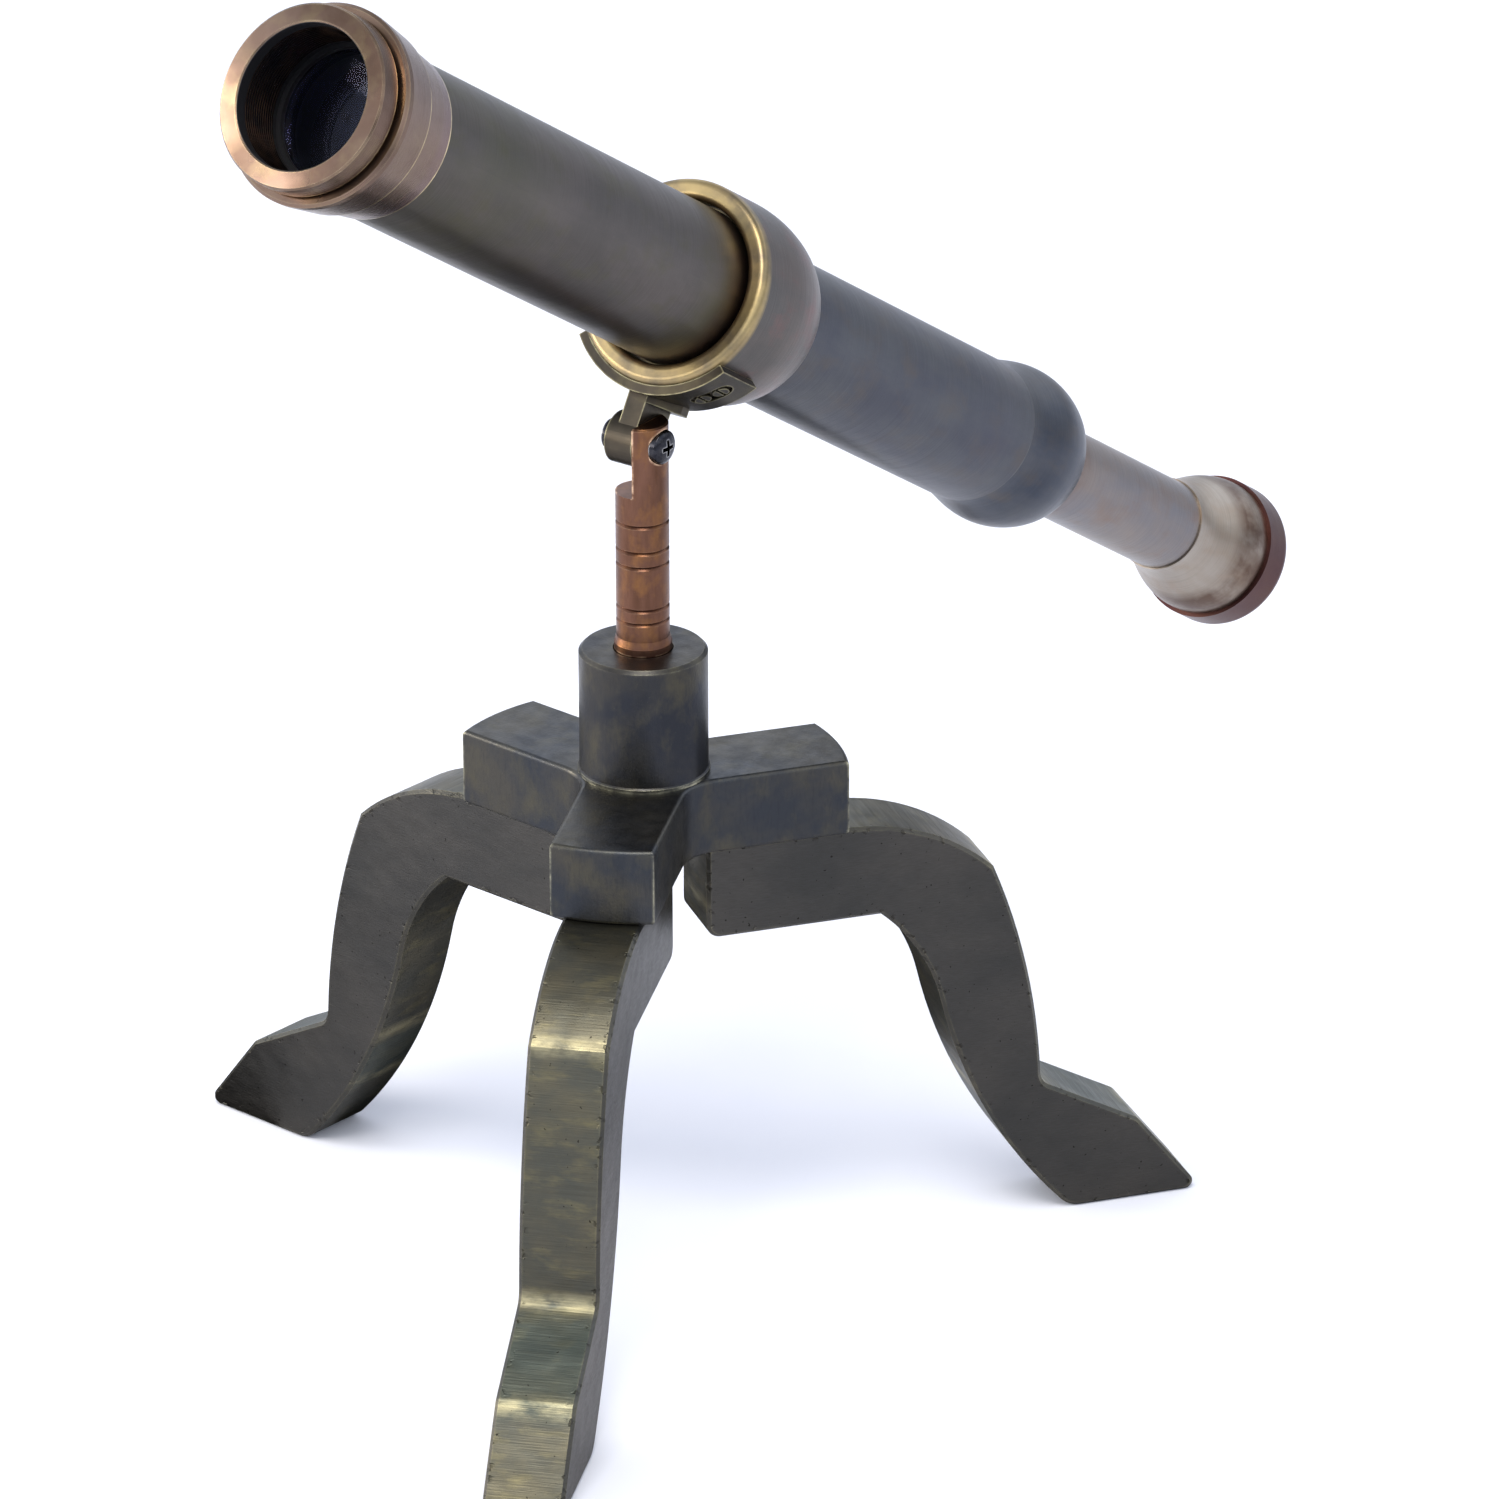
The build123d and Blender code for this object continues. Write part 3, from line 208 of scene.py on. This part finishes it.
def aged_leg_brass(azimuth):
    """Cast brass leg, darkened: sides sawn smooth, narrow faces filed across, brassy on its corners, with
    bands at its knee, ankle and instep that are partly rubbed brass and partly a painted highlight.
    """
    made, tree = new_finish("aged_filed_brass")
    spot = on_piece(tree, turn=(0, 0, azimuth))
    facing = on_piece(tree, turn=(0, 0, azimuth), source="Normal")
    leaning = add(tree, "ShaderNodeSeparateXYZ", {"Vector": facing}, take="Y")
    sideways = add(tree, "ShaderNodeMath", {0: leaning}, operation="ABSOLUTE")
    filed = shade(tree, sideways, 0.75, 0.55)
    lines = mottle(tree, spot, (1.6, 9.0, 0.2), 3.0, 0.3, 0.7, 3.0)
    tint = over(tree, colour("#514f4c"), colour("#444443"), mottle(tree, spot, (24, 24, 16), 1.0))
    brass = over(tree, colour("#646051"), colour("#57574f"), mottle(tree, spot, (9, 12, 9), 8.0, 0.4, 0.6))
    brass = over(tree, brass, colour("#8f865f"), mottle(tree, spot, (5, 9, 3), 9.0, 0.52, 0.72), 0.5)
    brass = over(tree, brass, colour("#465655"), band(tree, spot, "Z", 13.5, 24.0, 1.5), 0.5)
    # Bright bands at the knee, ankle and instep corners: partly rubbed brass, partly a painted highlight
    # where these bends catch the light.
    for height in (KNEE_HEIGHT, ANKLE_HEIGHT, INSTEP_HEIGHT):
        worn = both(tree, band(tree, spot, "Z", height - 1.0, height + 1.0, 1.0),
                    mottle(tree, spot, (5, 5, 2), 10.0 + height, 0.35, 0.6))
        brass = over(tree, brass, colour("#c9bf96"), worn, 0.6)
    tint = over(tree, tint, brass, filed)
    tint = over(tree, tint, colour("#3d3c36"), lines, 0.3)
    pits = mottle(tree, spot, (0.8, 0.8, 0.8), 4.0, 0.72, 0.75, 1.0)
    tint = over(tree, tint, colour("#1f1d19"), pits, 0.8)
    rubbed = both(tree, rubbed_edges(tree, 0.8), mottle(tree, spot, (4, 4, 4), 5.0, 0.35, 0.6))
    tint = over(tree, tint, colour("#bcb48e"), rubbed, 0.75)
    chips = both(tree, rubbed_edges(tree, 1.8, 0.05, 0.3),
                 mottle(tree, spot, (1.4, 1.4, 1.4), 6.0, 0.6, 0.66, 1.0))
    tint = over(tree, tint, colour("#2b2923"), chips, 0.8)
    dents = add(tree, "ShaderNodeMath", {0: 1.0, 1: chips}, operation="SUBTRACT")
    waves = mottle(tree, spot, (14, 14, 10), 7.0, 0.2, 0.8, 2.0)
    rough = shade(tree, lines, 0.0, 1.0, 0.34, 0.46)
    skin(tree, Base_Color=tint, Roughness=rough, Metallic=1.0,
         **relief(tree, ((waves, 0.35), (lines, 0.02), (dents, 0.25))))
    return made


def copper_brown_post():
    """Turned rod, copper plated and browned: dark reddish brown, brighter on its grooves' rubbed edges."""
    made, tree = new_finish("browned_copper_plate")
    spot = on_piece(tree)
    tint = over(tree, colour("#735243"), colour("#5d4133"), mottle(tree, spot, (3, 3, 16), 1.0))
    tint = over(tree, tint, colour("#95683c"), mottle(tree, spot, (4, 4, 6), 2.0, 0.5, 0.7), 0.6)
    # Painted shade: darkens the post's grooves and hollows.
    tint = over(tree, tint, colour("#4a332b"), painted_hollow_shade(tree, 1.2), 0.7)
    rubbed = both(tree, rubbed_edges(tree, 0.45), mottle(tree, spot, (2.5, 2.5, 2.5), 4.0, 0.42, 0.6))
    tint = over(tree, tint, colour("#e9c3a0"), rubbed, 0.9)
    rings = mottle(tree, spot, (9, 9, 0.14), 3.0, 0.3, 0.7, 2.0)
    rough = shade(tree, rings, 0.0, 1.0, 0.28, 0.4)
    skin(tree, Base_Color=tint, Roughness=rough, Metallic=1.0, **relief(tree, ((rings, 0.008),)))
    return made


def black_steel():
    """Blued steel screws: near black with a soft gloss, grey where the driver has rubbed."""
    made, tree = new_finish("blued_steel")
    spot = on_piece(tree)
    wear = mottle(tree, spot, (0.8, 0.8, 0.8), 1.0, 0.4, 0.7)
    tint = over(tree, colour("#2c2d33"), colour("#4b4a4c"), wear, 0.6)
    tint = over(tree, tint, colour("#b5b3b2"), rubbed_edges(tree, 0.35), 0.6)
    rough = shade(tree, wear, 0.0, 1.0, 0.2, 0.34)
    skin(tree, Base_Color=tint, Roughness=rough, Metallic=1.0, **relief(tree, ((wear, 0.01),)))
    return made


def turned_piece(name, ground, second, third, seed, rough=(0.3, 0.42), wear=None, bands=(), bore=None,
                 crown=None):
    """A piece turned on the telescope's axis: three colours in blotches, lathe rings, what its place adds.

    wear is the reach and the colour of rubbed edges, and bands are places along the axis that have a colour
    of their own.  Inside the bore's radius it is painted black, and crown is the radius of its front and the
    millimetres by which that front is rounded."""
    made, tree = new_finish(name)
    spot = on_piece(tree, TUBE_ORIGIN, TUBE_TURN)
    tint = over(tree, colour(ground), colour(second), mottle(tree, spot, (22, 12, 12), seed + 1.0, 0.4, 0.6))
    tint = over(tree, tint, colour(third), mottle(tree, spot, (9, 6, 6), seed + 2.0, 0.5, 0.7), 0.6)
    rings = mottle(tree, spot, (0.15, 14, 14), seed + 3.0, 0.3, 0.7, 3.0)
    tint = over(tree, tint, colour("#2b2a2c"), rings, 0.16)
    for place, (tone, start, end, soft, amount) in enumerate(bands):
        patch = both(tree, band(tree, spot, "X", start, end, soft),
                     mottle(tree, spot, (8, 7, 7), seed + 5.0 + place, 0.25, 0.58))
        tint = over(tree, tint, colour(tone), patch, amount)
    # Painted shade: darkens the hollows of the turned piece.
    tint = over(tree, tint, colour("#211c1c"), painted_hollow_shade(tree, 1.6), 0.8)
    if wear:
        rubbed = both(tree, rubbed_edges(tree, wear[0]), mottle(tree, spot, (3, 3, 3), seed + 4.0, 0.3, 0.6))
        tint = over(tree, tint, colour(wear[1]), rubbed, 0.85)
    layers = [(rings, 0.006), (mottle(tree, spot, (18, 8, 8), seed + 9.0, 0.2, 0.8, 2.0), 0.12)]
    gloss, metal = shade(tree, rings, 0.0, 1.0, rough[0], rough[1]), 1.0
    if bore:
        painted = shade(tree, from_axis(tree, spot), (bore + 0.06) * MM, bore * MM)
        tint = over(tree, tint, colour("#0b0b10"), painted)
        metal = shade(tree, painted, 0.0, 1.0, 1.0, 0.0)
        gloss = add(tree, "ShaderNodeMix", {"Factor": painted, "A": gloss, "B": 0.6}, data_type="FLOAT")
    if crown:
        out = shade(tree, from_axis(tree, spot), 0.0, crown[0] * MM)
        layers.append((shade(tree, both(tree, out, out), 0.0, 1.0, 1.0, 0.0), crown[1]))
    skin(tree, Base_Color=tint, Roughness=gloss, Metallic=metal, **relief(tree, layers))
    return made


def matt_black():
    """Optical black paint on the inside of tubes and stops: hardly any shine."""
    made, tree = new_finish("optical_black_paint")
    grain = mottle(tree, on_piece(tree), (0.3, 0.3, 0.3), 1.0, 0.3, 0.7)
    skin(tree, Base_Color=over(tree, colour("#07070b"), colour("#121118"), grain),
         Roughness=shade(tree, grain, 0.0, 1.0, 0.6, 0.85), Specular_IOR_Level=0.2)
    return made


def threaded_brass():
    """Blackened thread in the mouth of the cell, brown where the crests show the brass."""
    made, tree = new_finish("blackened_thread")
    worn = mottle(tree, on_piece(tree), (3, 3, 3), 1.0, 0.4, 0.7)
    skin(tree, Base_Color=over(tree, colour("#0c0a0a"), colour("#241a14"), worn), Metallic=1.0,
         Roughness=shade(tree, worn, 0.0, 1.0, 0.3, 0.4))
    return made


def lens_glass():
    """Polished crown glass, index 1.52, with a blue coating that holds back most of its reflection."""
    made, tree = new_finish("coated_crown_glass")
    dust = mottle(tree, on_piece(tree), (1.5, 1.5, 1.5), 1.0, 0.62, 0.9)
    skin(tree, Base_Color=colour("#eef2fb"), Roughness=shade(tree, dust, 0.0, 1.0, 0.0, 0.03),
         Transmission_Weight=1.0, IOR=1.52, Specular_Tint=colour("#1c1f3a"))
    return made


def dress(material, *names):
    """Gives CAD nodes their finish."""
    for name in names:
        NODES[name].data.materials.clear()
        NODES[name].data.materials.append(material)


dress(blackened_casting("blackened_hub_casting", "#4d4b46", "#3c3f44"), "hub")
dress(blackened_casting("blackened_socket", "#464440", "#35373c"), "socket")
for leg, azimuth in LEG_AZIMUTHS.items():
    dress(aged_leg_brass(azimuth), leg)
dress(copper_brown_post(), "post")
dress(black_steel(), "leg_screws", "post_washer", "post_screw", "pivot_screw", "pivot_nut")
dress(turned_piece("antiqued_bracket_brass", "#4f483d", "#3f3b34", "#655d44", 10.0, (0.3, 0.44),
                   (0.35, "#b9b18c")), "tilt_bracket", "bracket_screws")
dress(turned_piece("bronzed_collar_brass", "#6a625d", "#5d5a57", "#7c5955", 20.0, (0.3, 0.44),
                   (0.6, "#b5a374"), (("#b39e70", 4.4, 8.0, 0.5, 0.95), ("#3b352e", 4.4, 8.0, 0.5, 0.25),
                                     ("#7b756b", -19.5, -17.0, 1.0, 0.5))),
      "collar")
dress(turned_piece("bronzed_brass_tube", "#5f5955", "#55514d", "#575440", 30.0, (0.3, 0.42), None,
                   (("#56543e", 8.0, 16.0, 4.0, 0.5), ("#634640", 4.0, 9.0, 3.0, 0.5),
                    ("#565542", 70.0, 98.0, 9.0, 0.4)), bore=BARREL_BORE), "barrel_tube")
dress(turned_piece("rose_brass_bezel", "#7a6558", "#6b5649", "#806d58", 40.0, (0.2, 0.34), (0.5, "#f0dca8"),
                   (("#77625f", 101.0, 104.5, 1.0, 0.8),)), "barrel_ring")
dress(turned_piece("rose_brass_cell", "#7a6558", "#6b5649", "#8c7b5e", 45.0, (0.2, 0.34), (0.5, "#f6e3b4"),
                   bore=CELL_BORE, crown=(CELL_FACE, CELL_CROWN)), "objective_cell")
dress(turned_piece("gunmetal_brass_tube", "#54565a", "#4a4c54", "#5a534d", 50.0, (0.3, 0.42), None,
                   (("#4a4b55", -95.0, -80.0, 6.0, 0.5),), bore=DRAW_1_BORE), "draw_1_tube", "draw_1_guide")
dress(turned_piece("gunmetal_brass_cap", "#53555a", "#454a54", "#5a534d", 55.0, (0.3, 0.42), (0.4, "#6f6e6c"),
                   (("#2f323a", -124.0, -117.0, 1.5, 0.85),)), "draw_1_cap")
dress(turned_piece("grey_brass_tube", "#837a74", "#777476", "#7f6a5c", 60.0, (0.28, 0.4), None,
                   (("#6f5a4c", -128.0, -120.0, 3.0, 0.7),), bore=DRAW_2_BORE), "draw_2_tube", "draw_2_guide")
dress(turned_piece("tan_brass_eyecup", "#a1988d", "#948778", "#9b8672", 70.0, (0.3, 0.42), None,
                   (("#574338", -190.5, -181.5, 1.5, 0.9),)), "eyecup")
dress(turned_piece("red_copper_rim", "#583b33", "#4d3130", "#4f3438", 80.0, (0.3, 0.42), None), "eye_cap")
dress(matt_black(), "glare_stop", "lens_retainer", "erector_tube", "eyepiece_tube", "field_stop")
dress(lens_glass(), "objective_crown", "objective_flint", "erector_front_lens", "erector_rear_lens",
      "field_lens", "eye_lens")


# ---------------------------------------------------------------- fine pieces

def thread_tree():
    """Rings in a row along X, as a thread shows: radius, wire, pitch, count and finish are its inputs."""
    tree = bpy.data.node_groups.new("thread_rings", "GeometryNodeTree")
    for name, kind in (("Radius", "NodeSocketFloat"), ("Wire", "NodeSocketFloat"),
                       ("Pitch", "NodeSocketFloat"), ("Count", "NodeSocketInt"),
                       ("Finish", "NodeSocketMaterial")):
        tree.interface.new_socket(name, in_out="INPUT", socket_type=kind)
    tree.interface.new_socket("Rings", in_out="OUTPUT", socket_type="NodeSocketGeometry")
    sizes = tree.nodes.new("NodeGroupInput").outputs
    hoop = add(tree, "GeometryNodeCurvePrimitiveCircle", {"Resolution": 128, "Radius": sizes["Radius"]})
    wire = add(tree, "GeometryNodeCurvePrimitiveCircle", {"Resolution": 8, "Radius": sizes["Wire"]})
    ring = add(tree, "GeometryNodeCurveToMesh", {"Curve": hoop, "Profile Curve": wire})
    step = add(tree, "ShaderNodeCombineXYZ", {"X": sizes["Pitch"]})
    row = add(tree, "GeometryNodeMeshLine", {"Count": sizes["Count"], "Offset": step})
    turned = add(tree, "GeometryNodeInstanceOnPoints",
                 {"Points": row, "Instance": ring, "Rotation": (0, math.radians(90), 0)})
    whole = add(tree, "GeometryNodeRealizeInstances", {"Geometry": turned})
    done = add(tree, "GeometryNodeSetMaterial", {"Geometry": whole, "Material": sizes["Finish"]})
    add(tree, "NodeGroupOutput", {"Rings": done})
    return tree


def along_tube(start):
    """The place of a piece drawn along X whose start is that many millimetres along the telescope's axis."""
    return (Matrix.Translation(TUBE_ORIGIN + ALONG_TUBE * start * MM) @ Matrix.Rotation(-ELEVATION, 4, "Y"))


def threaded(name, tree, start, finish, slot_name, body, **sizes):
    """One row of thread rings as a plain mesh that rides on a body."""
    seed = bpy.data.objects.new(name + "_rule", bpy.data.meshes.new(name + "_rule"))
    bpy.context.scene.collection.objects.link(seed)
    rule = seed.modifiers.new("rings", "NODES")
    rule.node_group = tree
    values = {"Finish": finish, **sizes}
    for item in tree.interface.items_tree:
        if item.in_out == "INPUT":
            rule[item.identifier] = values[item.name]
    made = bpy.data.meshes.new_from_object(seed.evaluated_get(bpy.context.evaluated_depsgraph_get()))
    bpy.data.objects.remove(seed)
    made.transform(along_tube(start))
    rings = bpy.data.objects.new(name, made)
    bpy.context.scene.collection.objects.link(rings)
    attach(rings, body)


threaded("cell_thread", thread_tree(), THREAD_START, threaded_brass(), "matt_black", "barrel",
         Radius=THREAD_RADIUS * MM, Wire=THREAD_WIRE * MM, Pitch=THREAD_PITCH * MM, Count=THREAD_TURNS)


# ---------------------------------------------------------------- floor, light and camera

def pale_floor():
    """A wide sheet of pale paper under the stand."""
    made, tree = new_finish("pale_paper")
    spot = on_piece(tree)
    tone = over(tree, colour("#e9ebf2"), colour("#e2e5ef"), mottle(tree, spot, (120, 120, 120), 1.0))
    skin(tree, Base_Color=tone, Roughness=0.9, Specular_IOR_Level=0.2)
    sheet = bpy.data.meshes.new("floor")
    sheet.from_pydata([(-FLOOR_REACH, -FLOOR_REACH, 0), (FLOOR_REACH, -FLOOR_REACH, 0),
                       (FLOOR_REACH, FLOOR_REACH, 0), (-FLOOR_REACH, FLOOR_REACH, 0)], [], [(0, 1, 2, 3)])
    floor = bpy.data.objects.new("floor", sheet)
    sheet.materials.append(made)
    bpy.context.scene.collection.objects.link(floor)


def soft_light(name, place, aim, size, power, tint):
    """A square soft box at a place, facing aim."""
    lamp = bpy.data.lights.new(name, "AREA")
    lamp.shape = "RECTANGLE"
    lamp.size, lamp.size_y = size
    lamp.energy = power
    lamp.color = colour(tint)[:3]
    box = bpy.data.objects.new(name, lamp)
    box.location = place
    box.rotation_euler = (Vector(aim) - Vector(place)).to_track_quat("-Z", "Y").to_euler()
    bpy.context.scene.collection.objects.link(box)


def shade_card(name, tone, near, far, left, right):
    """A card laid on the floor, between distances ahead and aside, that shows only in the polished metal:
    painted shade, a sheet that stands in for the shaded floor under the stand in the metal's reflections.
    """
    made, tree = new_finish(name)
    skin(tree, Base_Color=colour(tone), Roughness=0.9, Specular_IOR_Level=0.1)
    ahead = Vector((math.cos(CAMERA_AZIMUTH), math.sin(CAMERA_AZIMUTH), 0))
    aside = Vector((-ahead.y, ahead.x, 0))
    corners = [ahead * reach + aside * side + Vector((0, 0, CARD_LIFT))
               for reach, side in ((near, left), (far, left), (far, right), (near, right))]
    sheet = bpy.data.meshes.new(name)
    sheet.from_pydata(corners, [], [(0, 1, 2, 3)])
    sheet.materials.append(made)
    card = bpy.data.objects.new(name, sheet)
    card.visible_camera = card.visible_diffuse = card.visible_shadow = card.visible_transmission = False
    bpy.context.scene.collection.objects.link(card)


def studio():
    """Even pale surroundings, two soft windows on the left and one overhead."""
    world = bpy.data.worlds.new("studio")
    bpy.context.scene.world = world
    world.use_nodes = True
    tree = world.node_tree
    tree.nodes.clear()
    way = add(tree, "ShaderNodeTexCoord", take="Generated")
    height = add(tree, "ShaderNodeSeparateXYZ", {"Vector": way}, take="Z")
    rise = add(tree, "ShaderNodeMapRange",
               {"Value": height, "From Min": -0.02, "From Max": 0.42, "To Min": 0.45, "To Max": 1.9},
               interpolation_type="SMOOTHSTEP")
    fall = add(tree, "ShaderNodeMapRange",
               {"Value": height, "From Min": 0.45, "From Max": 0.85, "To Min": 1.0, "To Max": 0.4},
               interpolation_type="SMOOTHSTEP")
    room = add(tree, "ShaderNodeBackground", {"Color": colour("#e9eef9"), "Strength": both(tree, rise, fall)})
    paper = add(tree, "ShaderNodeBackground", {"Color": colour("#fcfdff"), "Strength": 1.0})
    seen = add(tree, "ShaderNodeLightPath", take="Is Camera Ray")
    glow = add(tree, "ShaderNodeMixShader", {0: seen, 1: room, 2: paper})
    add(tree, "ShaderNodeOutputWorld", {"Surface": glow})
    middle = (0, 0, 130 * MM)

    def around(azimuth, reach, height):
        turn = CAMERA_AZIMUTH + math.radians(azimuth)
        return (reach * math.cos(turn), reach * math.sin(turn), height)

    soft_light("window_left", around(-100, 1.3, 0.42), middle, (0.5, 0.5), 10, "#fff6ea")
    soft_light("window_front", around(-12, 0.62, 1.35), middle, (0.7, 0.7), 14, "#fffaf2")
    soft_light("window_low", around(-69, 1.0, 0.37), (0.1, 0, 0.24), (0.35, 0.25), 1.7, "#fff8f0")


def camera():
    """The camera, aimed past the post."""
    lens = bpy.data.cameras.new("camera")
    lens.lens = CAMERA_LENS
    lens.sensor_width = 36
    lens.clip_end = 20
    eye = bpy.data.objects.new("camera", lens)
    place = Vector((CAMERA_REACH * math.cos(CAMERA_AZIMUTH), CAMERA_REACH * math.sin(CAMERA_AZIMUTH),
                    CAMERA_HEIGHT))
    heading = CAMERA_AZIMUTH + math.radians(90) - CAMERA_ASIDE
    eye.matrix_world = (Matrix.Translation(place) @ Matrix.Rotation(heading, 4, "Z")
                        @ Matrix.Rotation(math.radians(90) - CAMERA_DOWN, 4, "X")
                        @ Matrix.Rotation(CAMERA_ROLL, 4, "Z"))
    bpy.context.scene.collection.objects.link(eye)
    bpy.context.scene.camera = eye


pale_floor()
# Painted shade seen only in reflections: a grey card for the shaded floor around the stand, a dark one for
# the deeper shadow beneath the telescope behind the post.
shade_card("floor_shade_card", "#cacad0", -0.05, 0.22, -0.2, 0.32)
shade_card("stand_shadow_card", "#1c1c20", -0.16, -0.05, -0.2, 0.04)
studio()
camera()
bpy.context.scene.view_settings.view_transform = "Standard"
